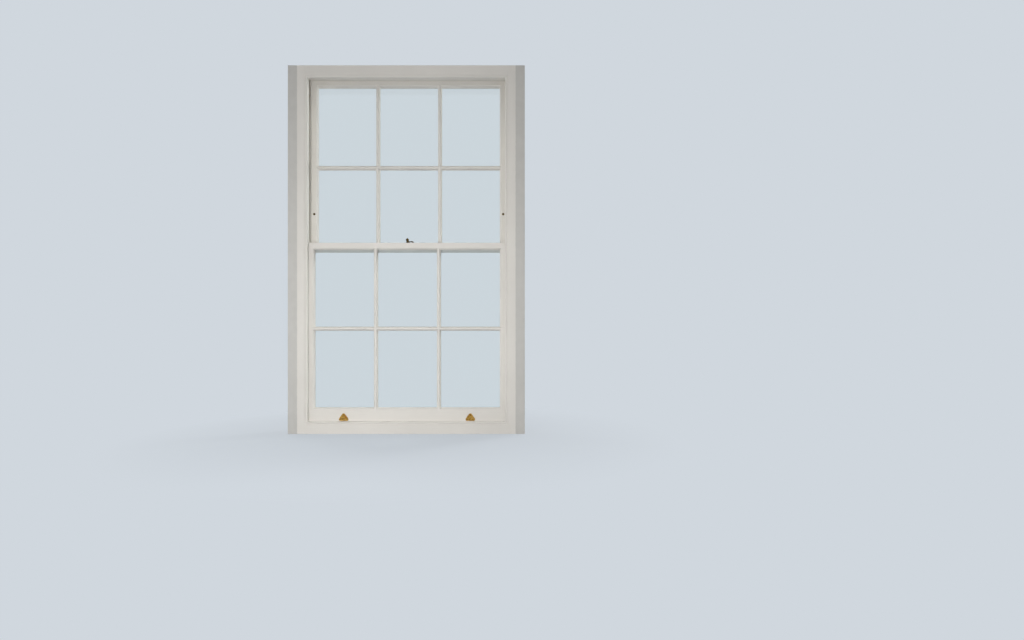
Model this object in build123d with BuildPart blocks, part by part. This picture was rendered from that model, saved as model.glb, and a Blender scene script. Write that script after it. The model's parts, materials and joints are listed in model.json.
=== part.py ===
from build123d import *
import os
from math import cos, radians, sin, tan

os.makedirs("parts", exist_ok=True)

# A box-frame sash window, six panes over six, with cords, pulleys and weights.
# Millimetres. X runs to the right as seen from the room, Y to the outside, Z up.
# The origin is the middle of the sill's underside.

# Sashes: what shows between the timbers, and the timbers
pane_width = 315.0
pane_height = 410.0
top_pane_height = 427.0
columns = 3
bar_width = 22.0
stile_width = 46.0
bottom_rail_height = 92.6
meeting_rail_height = 36.0
top_rail_height = 29.6
sash_thickness = 45.0
sash_play = 1.5
seat_gap = 0.4

# Section of the sash timbers, in from the room face
moulding_width = 7.5
moulding_quirk = 1.2
moulding_depth = 17.0
moulding_fillet = 1.2
ovolo_bulge = 1 - cos(radians(45))
rebate_width = 7.5
glass_depth = 22.0
glass_thickness = 4.0
glass_edge_gap = 1.0
bar_depth = 43.0
putty_depth = 16.0
putty_sight_gap = 0.6
putty_top_width = 0.8
tenon_thickness = 15.0
tenon_shoulder = 9.0
stub_tenon_gap = 2.0
meeting_bevel = 4.0
meeting_gap = 0.6

# Box frame
lining_thickness = 18.0
outer_lining_thickness = 20.0
outer_lining_lap = 12.0
pulley_stile_thickness = 20.0
back_lining_thickness = 9.0
box_width = 84.0
tongue = 6.0
head_thickness = 22.0
head_housing = 6.0
head_lining_rise = 44.0
staff_bead_face = 20.0
staff_bead_depth = 22.0
staff_bead_roll = 6.0
staff_bead_quirk = 2.0
staff_bead_quirk_angle = 30.0
parting_bead_thickness = 8.0
parting_bead_lap = 12.0
parting_bead_groove = 8.0
parting_slip_thickness = 7.0
parting_slip_width = 36.0
parting_slip_gap = 3.0
parting_slip_foot = 160.0

# Sill
sill_thickness = 44.0
sill_depth = 185.0
sill_slope = 7.0
sill_housing = 14.0
drip_width = 7.0
drip_depth = 5.0
drip_inset = 12.0

# Pocket in each pulley stile, through which the weights are reached
pocket_height = 380.0
pocket_foot = 96.0
pocket_width = 46.0
pocket_bevel = 12.0
pocket_gap = 0.4

# Pulleys and cords
pulley_drop = 95.0
pulley_rim_radius = 29.0
cord_turn_radius = 26.0
cord_radius = 3.0
cord_reach = 9.0
cord_gap = 0.4
wheel_width = 10.0
wheel_hub_radius = 8.0
wheel_rim_inner_radius = 18.5
wheel_web = 4.0
wheel_bore_gap = 0.08
pin_radius = 3.0
case_width = 28.0
case_height = 128.0
case_thickness = 2.5
cheek_thickness = 2.0
cheek_gap = 0.6
case_slot_gap = 2.0
cheek_root = 50.0
cheek_wall = 4.0
mortise_gap = 0.5
mortise_height = 74.0
cord_groove_width = 14.0
cord_groove_depth = 13.5
cord_length_in_sash = 180.0
knot_radius = 7.0
knot_hole_radius = 9.5
knot_hole_depth = 18.0

# Weights
weight_radius = 21.0
lower_weight_length = 770.0
upper_weight_length = 720.0
weight_below_pulley = 70.0
weight_off_sill = 60.0
weight_eye_radius = 4.0
weight_eye_depth = 34.0
weight_pocket_width = 17.0
weight_pocket_height = 30.0
weight_pocket_corner_radius = 5.5
weight_edge = 3.0

# Hook lifts on the bottom rail
lift_height = 86.0
lift_plate = 2.5
lift_lobe_radius = 8.5
lift_foot_spread = 17.0
lift_foot_drop = 11.0
lift_top_rise = 12.0
lift_hollow_radius = 3.0
hook_width = 20.0
hook_thickness = 3.6
hook_reach = 25.0
hook_rise = 15.0
hook_root_drop = 6.0
hook_corner_radius = 6.0

# Fastener on the meeting rails
fastener_plate = 3.0
fastener_length = 60.0
fastener_width = 20.0
fastener_setback = 17.5
fastener_screw_inset = 6.5
boss_radius = 9.0
boss_height = 3.0
pivot_radius = 3.0
pivot_gap = 0.08
pivot_head_radius = 5.0
pivot_head_height = 2.0
lever_gap = 0.3
lever_thickness = 7.0
claw_inner_radius = 25.0
claw_outer_radius = 30.0
claw_thickness = 5.0
claw_start = -45.0
claw_end = 18.0
claw_web = 14.0
claw_web_lap = 1.0
knob_reach = 22.0
knob_radius = 8.5
knob_height = 28.0
knob_foot_radius = 6.4
knob_neck = (4.7, 5.6)
knob_belly_rise = 11.1
knob_shoulder = (5.3, 16.7)
keep_post_width = 8.0
keep_post_gap = 1.0
keep_post_depth = 3.0
keep_post_height = 12.5
keep_lip = 4.0
keep_lip_thickness = 2.5
keep_length = 46.0
keep_width = 20.0
keep_corner_radius = 5.0

# Sockets for sash stops in the upper stiles
stop_height = 166.0
stop_inset = 10.5
stop_flange_radius = 6.5
stop_flange = 1.0
stop_body_radius = 5.0
stop_length = 14.0
stop_recess_radius = 4.0
stop_recess_depth = 3.5

# Countersunk wood screws
screw_head_radius = 3.4
screw_head_depth = 2.2
screw_shank_radius = 1.7
screw_length = 14.0
plate_screw_inset = 9.0

# Stations from the room to the outside
room_y = -sill_depth / 2
lining_back_y = room_y + lining_thickness
lower_face_y = room_y + staff_bead_depth + sash_play
lower_back_y = lower_face_y + sash_thickness
parting_y = lower_back_y + sash_play
parting_back_y = parting_y + parting_bead_thickness
upper_face_y = parting_back_y + sash_play
upper_back_y = upper_face_y + sash_thickness
outer_lining_y = upper_back_y + sash_play
outer_lining_back_y = outer_lining_y + outer_lining_thickness
sill_back_y = room_y + sill_depth
lower_cord_y = lower_face_y + sash_thickness / 2
upper_cord_y = upper_face_y + sash_thickness / 2

# Stations out from the middle
sight_x = (columns * pane_width + (columns - 1) * bar_width) / 2
sash_x = sight_x + stile_width
stile_x = sash_x + sash_play
box_x = stile_x + box_width
stile_back_x = stile_x + pulley_stile_thickness
shoulder_x = sight_x + moulding_width
parting_x = stile_x - parting_bead_lap

# Stations up from the sill's underside
rail_foot_z = sill_thickness + seat_gap
bottom_sight_z = rail_foot_z + bottom_rail_height
lower_bar_z = bottom_sight_z + pane_height + bar_width / 2
meeting_z = lower_bar_z + bar_width / 2 + pane_height
meeting_top_z = meeting_z + meeting_rail_height
upper_bar_z = meeting_top_z + pane_height + bar_width / 2
top_sight_z = upper_bar_z + bar_width / 2 + top_pane_height
sash_top_z = top_sight_z + top_rail_height
soffit_z = sash_top_z + seat_gap
frame_top_z = soffit_z + head_lining_rise
pulley_z = soffit_z - pulley_drop


def sill_z(y):
    """Height of the sill's weathered top at a station, level as far as the staff bead's back."""
    return sill_thickness - max(0.0, y - room_y - staff_bead_depth) * tan(radians(sill_slope))


def save(solid, name):
    """Label a finished piece and write it."""
    solid.label = name
    export_step(solid, f"parts/{name}.step")


def save_pair(solid, name):
    """Write a right-hand piece and its mirror image on the left."""
    save(solid, f"{name}_right")
    save(mirrored(solid), f"{name}_left")


def mirrored(solid):
    """The left-hand copy of a right-hand piece."""
    return mirror(solid, about=Plane.YZ)


def group(solids):
    """Several separate solids as one piece."""
    flat = [one for solid in solids for one in solid.solids()]
    return Compound(children=flat)


def block(x, y, z):
    """A straight piece between two stations each way."""
    with BuildPart() as piece:
        with BuildSketch(Plane.XY.offset(z[0])):
            with Locations(((x[0] + x[1]) / 2, (y[0] + y[1]) / 2)):
                Rectangle(x[1] - x[0], y[1] - y[0])
        extrude(amount=z[1] - z[0])
    return piece.part


def along_x(points, x):
    """A straight piece of one section, given as (Y, Z) points, between two stations in X."""
    with BuildPart() as piece:
        with BuildSketch(Plane.YZ.offset(x[0])):
            with BuildLine():
                Polyline(*points, close=True)
            make_face()
        extrude(amount=x[1] - x[0])
    return piece.part


def cut(solid, *tools):
    """A piece with the shape of others taken out of it."""
    with BuildPart() as piece:
        add(solid)
        for tool in tools:
            add(tool, mode=Mode.SUBTRACT)
    return piece.part


def joined(*solids):
    """Several touching solids as one piece."""
    with BuildPart() as piece:
        for solid in solids:
            add(solid)
    return piece.part


# Screws

def screw(head_at, direction):
    """A countersunk screw whose head is flush with a face, driven along a direction."""
    seat = Plane(origin=head_at, z_dir=direction)
    with BuildPart() as piece:
        with BuildSketch(seat):
            Circle(screw_shank_radius)
        extrude(amount=screw_length)
        with BuildSketch(seat):
            Circle(screw_head_radius)
        with BuildSketch(seat.offset(screw_head_depth)):
            Circle(screw_shank_radius)
        loft()
    return piece.part


# Sill, with a level seat for the bead, a weathered top and a drip under the nosing

with BuildPart() as sill_body:
    with BuildSketch(Plane.YZ.offset(-box_x)):
        with BuildLine():
            Polyline(
                (room_y, 0),
                (sill_back_y, 0),
                (sill_back_y, sill_z(sill_back_y)),
                (room_y + staff_bead_depth, sill_thickness),
                (room_y, sill_thickness),
                close=True,
            )
        make_face()
        with Locations((sill_back_y - drip_inset, drip_depth / 2)):
            Rectangle(drip_width, drip_depth, mode=Mode.SUBTRACT)
    extrude(amount=2 * box_x)
    with BuildSketch(Plane.XY):
        for side in (-1, 1):
            with Locations((side * (stile_x + box_x) / 2, room_y + lining_thickness / 2)):
                Rectangle(box_width, lining_thickness)
    extrude(amount=sill_thickness, mode=Mode.SUBTRACT)

# Pulley stile, tongued into both linings and housed in the sill and the head

pulley_ys = (lower_cord_y, upper_cord_y)
pulley_x = stile_x + cord_turn_radius - cord_reach
stile_foot_z = sill_z(outer_lining_y) - sill_housing
pocket_edge_y = (parting_y + parting_back_y) / 2
pocket_y = (pocket_edge_y - pocket_width, pocket_edge_y)
pocket_z = (sill_thickness + pocket_foot, sill_thickness + pocket_foot + pocket_height)


def pocket_plug(gap):
    """The pocket's shape, shorter at the back than at the face, less a gap all round."""
    with BuildPart() as plug:
        with BuildSketch(Plane.XZ.offset(-pocket_y[1] + gap)):
            with BuildLine():
                Polyline(
                    (stile_x, pocket_z[0] + gap),
                    (stile_back_x, pocket_z[0] + pocket_bevel + gap),
                    (stile_back_x, pocket_z[1] - pocket_bevel - gap),
                    (stile_x, pocket_z[1] - gap),
                    close=True,
                )
            make_face()
        extrude(amount=pocket_width - 2 * gap)
    return plug.part


def pulley_case(y):
    """A face plate let into the pulley stile, with a slot for the wheel and two cheeks behind it."""
    half_slot = wheel_width / 2 + cheek_gap
    plate_back_x = stile_x + case_thickness
    with BuildPart() as case:
        with BuildSketch(Plane.YZ.offset(stile_x)):
            with Locations((y, pulley_z)):
                SlotOverall(case_height, case_width, rotation=90)
                Rectangle(2 * half_slot, 2 * (pulley_rim_radius + case_slot_gap), mode=Mode.SUBTRACT)
        extrude(amount=case_thickness)
        for cheek_y in (y - half_slot, y + half_slot + cheek_thickness):
            with BuildSketch(Plane.XZ.offset(-cheek_y)):
                with Locations((plate_back_x + cheek_wall / 2, pulley_z)):
                    Rectangle(cheek_wall, cheek_root)
                with Locations((pulley_x, pulley_z)):
                    Circle(pin_radius + cheek_wall)
                make_hull()
                with Locations((pulley_x, pulley_z)):
                    Circle(pin_radius, mode=Mode.SUBTRACT)
            extrude(amount=cheek_thickness)
        add(case_screws(y), mode=Mode.SUBTRACT)
    return case.part


def pulley_pin(y):
    """The axle through a pulley's two cheeks."""
    half = wheel_width / 2 + cheek_gap + cheek_thickness
    with BuildPart() as pin:
        with BuildSketch(Plane.XZ.offset(-y - half)):
            with Locations((pulley_x, pulley_z)):
                Circle(pin_radius)
        extrude(amount=2 * half)
    return pin.part


def pulley_wheel(y):
    """A grooved wheel on its axle, with its rim standing out of the pulley stile."""
    half = wheel_width / 2
    groove = cord_radius + cord_gap
    bore = pin_radius + wheel_bore_gap
    with BuildPart() as wheel:
        with BuildSketch(Plane(origin=(pulley_x, y, pulley_z), z_dir=(0, 0, 1))):
            with BuildLine():
                ThreePointArc(
                    (cord_turn_radius, -groove), (cord_turn_radius - groove, 0), (cord_turn_radius, groove)
                )
                for side in (-1, 1):
                    Polyline(
                        (cord_turn_radius, side * groove),
                        (pulley_rim_radius, side * (groove + half) / 2),
                        (pulley_rim_radius, side * half),
                        (wheel_rim_inner_radius, side * half),
                        (wheel_rim_inner_radius, side * wheel_web / 2),
                        (wheel_hub_radius, side * wheel_web / 2),
                        (wheel_hub_radius, side * half),
                        (bore, side * half),
                    )
                Line((bore, -half), (bore, half))
            make_face()
        revolve(axis=Axis((pulley_x, y, pulley_z), (0, 1, 0)))
    return wheel.part


def case_screws(y):
    """The two screws of a pulley's face plate."""
    reach = case_height / 2 - plate_screw_inset
    return [screw((stile_x, y, pulley_z + side * reach), (1, 0, 0)) for side in (-1, 1)]


pocket_screw = screw((stile_x, lower_cord_y, pocket_z[0] + pocket_bevel / 2), (1, 0, 0))
stile_screws = [one for y in pulley_ys for one in case_screws(y)]
cases = [pulley_case(y) for y in pulley_ys]
pins = [pulley_pin(y) for y in pulley_ys]

with BuildPart() as pulley_stile:
    with BuildSketch(Plane.XY.offset(stile_foot_z)):
        with Locations(((stile_x + stile_back_x) / 2, (lining_back_y + outer_lining_y) / 2)):
            Rectangle(pulley_stile_thickness, outer_lining_y - lining_back_y)
            Rectangle(tongue, outer_lining_y - lining_back_y + 2 * tongue)
        with Locations((stile_x + parting_bead_groove / 2, (parting_y + parting_back_y) / 2)):
            Rectangle(parting_bead_groove, parting_bead_thickness, mode=Mode.SUBTRACT)
    extrude(amount=soffit_z + head_housing - stile_foot_z)
    for y in pulley_ys:
        with BuildSketch(Plane.YZ.offset(stile_x)):
            with Locations((y, pulley_z)):
                SlotOverall(case_height, case_width, rotation=90)
        extrude(amount=case_thickness, mode=Mode.SUBTRACT)
        with BuildSketch(Plane.YZ.offset(stile_x)):
            with Locations((y, pulley_z)):
                Rectangle(wheel_width + 2 * (cheek_gap + cheek_thickness + mortise_gap), mortise_height)
        extrude(amount=pulley_stile_thickness, mode=Mode.SUBTRACT)
    add(pocket_plug(0.0), mode=Mode.SUBTRACT)
    add([pocket_screw, *stile_screws], mode=Mode.SUBTRACT)

bead_groove = block(
    (stile_x, stile_x + parting_bead_groove), (parting_y, parting_back_y), (0, soffit_z)
)
pocket_piece = cut(pocket_plug(pocket_gap), pocket_screw, bead_groove)
stile_pair = [pulley_stile.part, mirrored(pulley_stile.part)]
sill = cut(sill_body.part, *stile_pair)
save(sill, "sill")
save_pair(pulley_stile.part, "pulley_stile")
save(group([pocket_piece, mirrored(pocket_piece)]), "pocket_pieces")
save_pair(group(cases), "pulley_cases")
save(group([*pins, *map(mirrored, pins)]), "pulley_pins")
frame_screws = [pocket_screw, *stile_screws]
save(group([*frame_screws, *map(mirrored, frame_screws)]), "frame_screws")
for sash, y in (("lower", lower_cord_y), ("upper", upper_cord_y)):
    save_pair(pulley_wheel(y), f"pulley_wheel_{sash}")

# Head, linings and the backs of the boxes

head = cut(
    block((-box_x, box_x), (lining_back_y, outer_lining_y), (soffit_z, soffit_z + head_thickness)),
    *stile_pair,
)
save(head, "head")

inner_lining = cut(
    block((stile_x, box_x), (room_y, lining_back_y), (0, frame_top_z)), pulley_stile.part
)
save_pair(inner_lining, "inner_lining")
save(block((-stile_x, stile_x), (room_y, lining_back_y), (soffit_z, frame_top_z)), "inner_lining_head")

outer_lining = cut(
    along_x(
        [
            (outer_lining_y, sill_z(outer_lining_y)),
            (outer_lining_back_y, sill_z(outer_lining_back_y)),
            (outer_lining_back_y, frame_top_z),
            (outer_lining_y, frame_top_z),
        ],
        (stile_x - outer_lining_lap, box_x),
    ),
    pulley_stile.part,
)
save_pair(outer_lining, "outer_lining")
outer_head_x = stile_x - outer_lining_lap
save(
    block(
        (-outer_head_x, outer_head_x),
        (outer_lining_y, outer_lining_back_y),
        (soffit_z - outer_lining_lap, frame_top_z),
    ),
    "outer_lining_head",
)

back_lining = cut(
    block((box_x - back_lining_thickness, box_x), (lining_back_y, outer_lining_y), (0, soffit_z)), sill
)
save_pair(back_lining, "back_lining")

slip_y = (parting_y + parting_back_y - parting_slip_thickness) / 2
slip_x = stile_back_x + parting_slip_gap
parting_slip = block(
    (slip_x, slip_x + parting_slip_width),
    (slip_y, slip_y + parting_slip_thickness),
    (parting_slip_foot, soffit_z),
)
save(group([parting_slip, mirrored(parting_slip)]), "parting_slips")

parting_bead = cut(
    block((parting_x, stile_x + parting_bead_groove), (parting_y, parting_back_y), (0, soffit_z)), sill
)
save_pair(parting_bead, "parting_bead")

# Staff beads, one mitred frame of four lengths round the room side of the opening


def staff_bead_outline(place):
    """Flat face, quirk and round nose; place maps (in from the lining, back from the face)."""
    roll_in = staff_bead_face - staff_bead_roll
    quirk_in = roll_in - staff_bead_roll * cos(radians(staff_bead_quirk_angle))
    quirk_back = staff_bead_roll * (1 - sin(radians(staff_bead_quirk_angle)))
    with BuildLine() as outline:
        Polyline(
            place(staff_bead_face, staff_bead_roll),
            place(staff_bead_face, staff_bead_depth),
            place(0, staff_bead_depth),
            place(0, 0),
            place(quirk_in - staff_bead_quirk, 0),
            place(quirk_in, quirk_back),
        )
        ThreePointArc(
            place(quirk_in, quirk_back), place(roll_in, 0), place(staff_bead_face, staff_bead_roll)
        )
    make_face(outline.edges())


def mitre(side, end_z):
    """The plane of a corner mitre, facing away from the jamb's bead."""
    inward = 1 if end_z > sill_thickness else -1
    return Plane(origin=(side * stile_x, room_y, end_z), z_dir=(-side, 0, inward))


with BuildPart() as staff_bead_jamb:
    with BuildSketch(Plane.XY.offset(sill_thickness)):
        staff_bead_outline(lambda u, v: (stile_x - u, room_y + v))
    extrude(amount=soffit_z - sill_thickness)
    split(bisect_by=mitre(1, soffit_z), keep=Keep.BOTTOM)
    split(bisect_by=mitre(1, sill_thickness), keep=Keep.BOTTOM)
save_pair(staff_bead_jamb.part, "staff_bead")

for name, end_z, way in (("head", soffit_z, -1), ("sill", sill_thickness, 1)):
    with BuildPart() as staff_bead_rail:
        with BuildSketch(Plane.YZ.offset(-stile_x)):
            staff_bead_outline(lambda u, v: (room_y + v, end_z + way * u))
        extrude(amount=2 * stile_x)
        for side in (-1, 1):
            split(bisect_by=mitre(side, end_z), keep=Keep.TOP)
    save(staff_bead_rail.part, f"staff_bead_{name}")

# Timber sections of the sashes


def moulded_edge(place):
    """Quirk, ovolo and fillet from the room face back to the glass; u is out from the sight line."""
    quirk = place(moulding_width, moulding_quirk)
    end = place(moulding_fillet, moulding_depth)
    bulge = place(
        moulding_fillet + (moulding_width - moulding_fillet) * ovolo_bulge,
        moulding_quirk + (moulding_depth - moulding_quirk) * ovolo_bulge,
    )
    Line(place(moulding_width, 0), quirk)
    ThreePointArc(quirk, bulge, end)
    Polyline(end, place(0, moulding_depth), place(0, glass_depth))


def member_outline(place, width, back_width=None):
    """A stile or rail: moulded towards the glass in the room, rebated for it outside."""
    with BuildLine() as outline:
        moulded_edge(place)
        Polyline(
            place(0, glass_depth),
            place(rebate_width, glass_depth),
            place(rebate_width, sash_thickness),
            place(back_width or width, sash_thickness),
            place(width, 0),
            place(moulding_width, 0),
        )
    make_face(outline.edges())


def bar_outline(place):
    """A glazing bar: moulded on both sides of a narrow nose, with a stem between the panes."""
    half = bar_width / 2
    stem = half - rebate_width
    with BuildLine() as outline:
        for side in (-1, 1):
            moulded_edge(lambda u, v: place(side * (half - u), v))
            Polyline(
                place(side * half, glass_depth),
                place(side * stem, glass_depth),
                place(side * stem, bar_depth),
            )
        Line(place(-stem, bar_depth), place(stem, bar_depth))
        Line(place(-half + moulding_width, 0), place(half - moulding_width, 0))
    make_face(outline.edges())


def rail(face_y, sight_z, height, way, back_height=None):
    """A rail between the stiles' shoulders; way is -1 where its body lies below the glass."""
    with BuildPart() as piece:
        with BuildSketch(Plane.YZ.offset(-shoulder_x)):
            member_outline(lambda u, v: (face_y + v, sight_z + way * u), height, back_height)
        extrude(amount=2 * shoulder_x)
    return piece.part


def tenon(face_y, z, end_x):
    """The right-hand tenon of a rail, in the middle of the stile's thickness."""
    middle = face_y + sash_thickness / 2
    return block((shoulder_x, end_x), (middle - tenon_thickness / 2, middle + tenon_thickness / 2), z)


def sash_stile(face_y, z_low, z_high, top_z, tenons, extra=()):
    """A right-hand stile, mortised for the rails and grooved in its edge for the cord."""
    cord_y = face_y + sash_thickness / 2
    with BuildPart() as piece:
        with BuildSketch(Plane.XY.offset(z_low)):
            member_outline(lambda u, v: (sight_x + u, face_y + v), stile_width)
        extrude(amount=z_high - z_low)
        add(tenons, mode=Mode.SUBTRACT)
        with BuildSketch(Plane.XY.offset(top_z)):
            with Locations((sash_x - cord_groove_depth / 2, cord_y)):
                Rectangle(cord_groove_depth, cord_groove_width)
        extrude(amount=-cord_length_in_sash, mode=Mode.SUBTRACT)
        with BuildSketch(Plane.YZ.offset(sash_x)):
            with Locations((cord_y, top_z - cord_length_in_sash)):
                Circle(knot_hole_radius)
        extrude(amount=-knot_hole_depth, mode=Mode.SUBTRACT)
        for tool in extra:
            add(tool, mode=Mode.SUBTRACT)
    return piece.part


def bar_xs():
    """Middles of the vertical bars."""
    pitch = pane_width + bar_width
    return [pitch * (i - (columns - 2) / 2) for i in range(columns - 1)]


def vertical_bars(face_y, z_low, z_high, rails):
    """The full-height bars, scribed over the rails' mouldings."""
    with BuildPart() as bars:
        with BuildSketch(Plane.XY.offset(z_low)):
            for x in bar_xs():
                bar_outline(lambda u, v: (x + u, face_y + v))
        extrude(amount=z_high - z_low)
        for tool in rails:
            add(tool, mode=Mode.SUBTRACT)
    return bars.part


def cross_bars(face_y, z, stiles, bars):
    """The short bars of one row, scribed over the stiles and the full-height bars."""
    with BuildPart() as row:
        with BuildSketch(Plane.YZ.offset(-shoulder_x)):
            bar_outline(lambda u, v: (face_y + v, z + u))
        extrude(amount=2 * shoulder_x)
        for tool in (*stiles, bars):
            add(tool, mode=Mode.SUBTRACT)
    return row.part


def pane_grid(rows):
    """Middle and height of every pane of a sash, as (x, z, height)."""
    pitch = pane_width + bar_width
    return [(pitch * (i - (columns - 1) / 2), z, height) for z, height in rows for i in range(columns)]


def panes(face_y, rows):
    """The panes, each let into its rebates behind the mouldings."""
    lap = 2 * (rebate_width - glass_edge_gap)
    glass_y = face_y + glass_depth
    made = [
        block(
            (x - (pane_width + lap) / 2, x + (pane_width + lap) / 2),
            (glass_y, glass_y + glass_thickness),
            (z - (height + lap) / 2, z + (height + lap) / 2),
        )
        for x, z, height in pane_grid(rows)
    ]
    return group(made)


def putty(face_y, rows, rails):
    """The bevelled putty round every pane outside."""
    seat_y = face_y + glass_depth + glass_thickness
    made = []
    for x, z, height in pane_grid(rows):
        with BuildPart() as ring:
            with BuildSketch(Plane.XZ.offset(-seat_y)):
                with Locations((x, z)):
                    Rectangle(pane_width + 2 * rebate_width, height + 2 * rebate_width)
            extrude(amount=-putty_depth)
            near, far = putty_sight_gap, rebate_width - putty_top_width
            with BuildSketch(Plane.XZ.offset(-seat_y)):
                with Locations((x, z)):
                    Rectangle(pane_width + 2 * near, height + 2 * near)
            with BuildSketch(Plane.XZ.offset(-seat_y - putty_depth)):
                with Locations((x, z)):
                    Rectangle(pane_width + 2 * far, height + 2 * far)
            loft(mode=Mode.SUBTRACT)
            for tool in rails:
                add(tool, mode=Mode.SUBTRACT)
        made.append(ring.part)
    return group(made)


# Lower sash

meeting_end_x = parting_x - sash_play
lower_meet_y = (parting_y + parting_back_y + meeting_bevel - meeting_gap) / 2
upper_meet_y = lower_meet_y + meeting_gap
stub_end_x = sash_x - cord_groove_depth - stub_tenon_gap
meeting_tenon_z = (meeting_z + tenon_shoulder, meeting_top_z - tenon_shoulder)
lower_rows = [
    (bottom_sight_z + pane_height / 2, pane_height),
    (meeting_z - pane_height / 2, pane_height),
]
lift_x = pane_width + bar_width
lift_y = lower_face_y - lift_plate
lift_screw_spots = [
    (-lift_foot_spread, -lift_foot_drop),
    (lift_foot_spread, -lift_foot_drop),
    (0, lift_top_rise),
]
lift_screws = [
    screw((lift_x + x, lift_y, lift_height + z), (0, 1, 0)) for x, z in lift_screw_spots
]

rail_foot_drop = sash_thickness * tan(radians(sill_slope))
bottom_rail_body = rail(
    lower_face_y, bottom_sight_z, bottom_rail_height, -1, bottom_rail_height + rail_foot_drop
)
bottom_tenon_z = (rail_foot_z + tenon_shoulder, bottom_sight_z - tenon_shoulder)
bottom_tenon = tenon(lower_face_y, bottom_tenon_z, sash_x)
lower_meeting_tenon = tenon(lower_face_y, meeting_tenon_z, stub_end_x)
foot_cut = along_x(
    [
        (lower_face_y, rail_foot_z),
        (lower_back_y, rail_foot_z - rail_foot_drop),
        (lower_back_y, rail_foot_z - sash_thickness),
        (lower_face_y, rail_foot_z - sash_thickness),
    ],
    (-sash_x, sash_x),
)
lower_stile = sash_stile(
    lower_face_y,
    rail_foot_z - rail_foot_drop,
    meeting_top_z,
    meeting_top_z,
    [bottom_tenon, lower_meeting_tenon],
    [foot_cut],
)
lower_stiles = [lower_stile, mirrored(lower_stile)]

bottom_rail = cut(
    joined(bottom_rail_body, bottom_tenon, mirrored(bottom_tenon)),
    *lower_stiles,
    *lift_screws,
    *map(mirrored, lift_screws),
)

with BuildPart() as lower_meeting_body:
    with BuildSketch(Plane.YZ.offset(-shoulder_x)):
        with BuildLine():
            moulded_edge(lambda u, v: (lower_face_y + v, meeting_z + u))
            glass_y = lower_face_y + glass_depth
            Polyline(
                (glass_y, meeting_z),
                (glass_y, meeting_z + rebate_width),
                (glass_y + glass_thickness, meeting_z + rebate_width),
                (glass_y + glass_thickness, meeting_z),
                (lower_back_y, meeting_z),
                (lower_back_y, meeting_top_z),
                (lower_face_y, meeting_top_z),
                (lower_face_y, meeting_z + moulding_width),
            )
        make_face()
    extrude(amount=2 * shoulder_x)
    with BuildSketch(Plane.YZ.offset(-meeting_end_x)):
        with BuildLine():
            Polyline(
                (lower_back_y, meeting_z),
                (lower_meet_y - meeting_bevel, meeting_z),
                (lower_meet_y, meeting_top_z),
                (lower_back_y, meeting_top_z),
                close=True,
            )
        make_face()
    extrude(amount=2 * meeting_end_x)

# Upper sash's meeting rail, level with the lower one and bevelled the other way

with BuildPart() as upper_meeting_body:
    with BuildSketch(Plane.YZ.offset(-shoulder_x)):
        glass_y = upper_face_y + glass_depth
        with BuildLine():
            Polyline(
                (upper_face_y, meeting_z),
                (upper_back_y, meeting_z),
                (upper_back_y, meeting_top_z - rebate_width),
                (glass_y, meeting_top_z - rebate_width),
                (glass_y, meeting_top_z),
                (upper_face_y, meeting_top_z),
                close=True,
            )
        make_face()
    extrude(amount=2 * shoulder_x)
    with BuildSketch(Plane.YZ.offset(-meeting_end_x)):
        with BuildLine():
            Polyline(
                (upper_meet_y - meeting_bevel, meeting_z),
                (upper_face_y, meeting_z),
                (upper_face_y, meeting_top_z),
                (upper_meet_y, meeting_top_z),
                close=True,
            )
        make_face()
    extrude(amount=2 * meeting_end_x)

# Fastener: a plate with a pivot on the lower meeting rail, a lever with a claw and a knob,
# and a keep on the upper meeting rail. It is stored open, with its knob towards the room.

pivot_y = lower_meet_y - fastener_setback
plate_top_z = meeting_top_z + fastener_plate
lever_z = plate_top_z + boss_height + lever_gap
base_screw_x = fastener_length / 2 - fastener_screw_inset
fastener_screws = [screw((x, pivot_y, plate_top_z), (0, 0, -1)) for x in (-base_screw_x, base_screw_x)]
keep_y = upper_meet_y + keep_post_gap
keep_screw_x = keep_length / 2 - fastener_screw_inset
keep_screw_y = keep_y + keep_width / 2
keep_screws = [screw((x, keep_screw_y, plate_top_z), (0, 0, -1)) for x in (-keep_screw_x, keep_screw_x)]

with BuildPart() as fastener_base:
    with BuildSketch(Plane.XY.offset(meeting_top_z)):
        with Locations((0, pivot_y)):
            SlotOverall(fastener_length, fastener_width)
    extrude(amount=fastener_plate)
    with BuildSketch(Plane.XY.offset(plate_top_z)):
        with Locations((0, pivot_y)):
            Circle(boss_radius)
    extrude(amount=boss_height)
    with BuildSketch(Plane.XY.offset(plate_top_z + boss_height)):
        with Locations((0, pivot_y)):
            Circle(pivot_radius)
    extrude(amount=lever_gap + lever_thickness + lever_gap)
    with BuildSketch(Plane.XY.offset(lever_z + lever_thickness + lever_gap)):
        with Locations((0, pivot_y)):
            Circle(pivot_head_radius)
    extrude(amount=pivot_head_height)
    add(fastener_screws, mode=Mode.SUBTRACT)

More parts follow.
